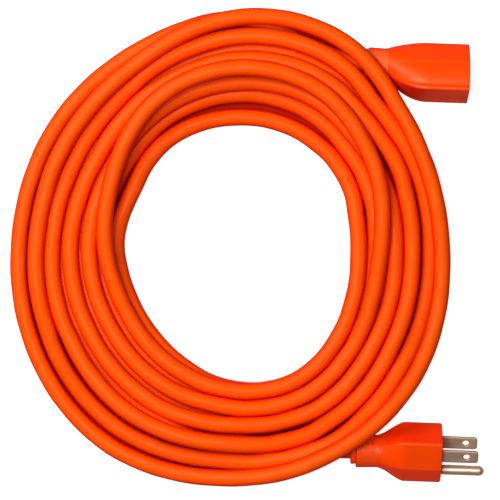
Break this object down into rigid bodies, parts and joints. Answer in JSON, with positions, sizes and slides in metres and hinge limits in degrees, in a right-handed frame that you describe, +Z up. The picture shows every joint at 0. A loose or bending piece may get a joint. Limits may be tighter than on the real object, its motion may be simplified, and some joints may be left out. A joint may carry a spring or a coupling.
{
  "type": "shore power cord",
  "caption": "Coiled orange power cord with a moulded grounded plug on one end and a matching connector on the other.",
  "frame": {"origin": "on the floor, under the middle of the whole part's bounding box", "axes": "+Z up; +X the way the plug's blades and the connector's face point; +Y from the plug towards the connector"},
  "size_m": [0.2356, 0.2336, 0.0309],
  "materials": {
    "jacket": "satin",
    "moulded_vinyl": "satin",
    "insert_vinyl": "matte",
    "blade_metal": "nickel plated, satin",
    "contact_metal": "bright",
    "copper": "stranded, bright",
    "insulation_black": "satin",
    "insulation_white": "satin",
    "insulation_green": "satin"
  },
  "bodies": {
    "root": {"plug_body": "moulded_vinyl", "plug_blade_block": "insert_vinyl", "plug_blade_line": "blade_metal", "plug_blade_neutral": "blade_metal", "plug_ground_pin": "blade_metal", "plug_wire_line": "insulation_black", "plug_wire_neutral": "insulation_white", "plug_wire_ground": "insulation_green", "plug_copper_line": "copper", "plug_copper_neutral": "copper", "plug_copper_ground": "copper", "plug_jacket_end": "jacket", "connector_body": "moulded_vinyl", "connector_contact_block": "insert_vinyl", "connector_contact_line": "contact_metal", "connector_contact_neutral": "contact_metal", "connector_contact_ground": "contact_metal", "connector_wire_line": "insulation_black", "connector_wire_neutral": "insulation_white", "connector_wire_ground": "insulation_green", "connector_copper_line": "copper", "connector_copper_neutral": "copper", "connector_copper_ground": "copper", "connector_jacket_end": "jacket", "cord_coil": "jacket", "cord_to_plug": "jacket", "cord_to_connector": "jacket"}
  },
  "joints": []
}
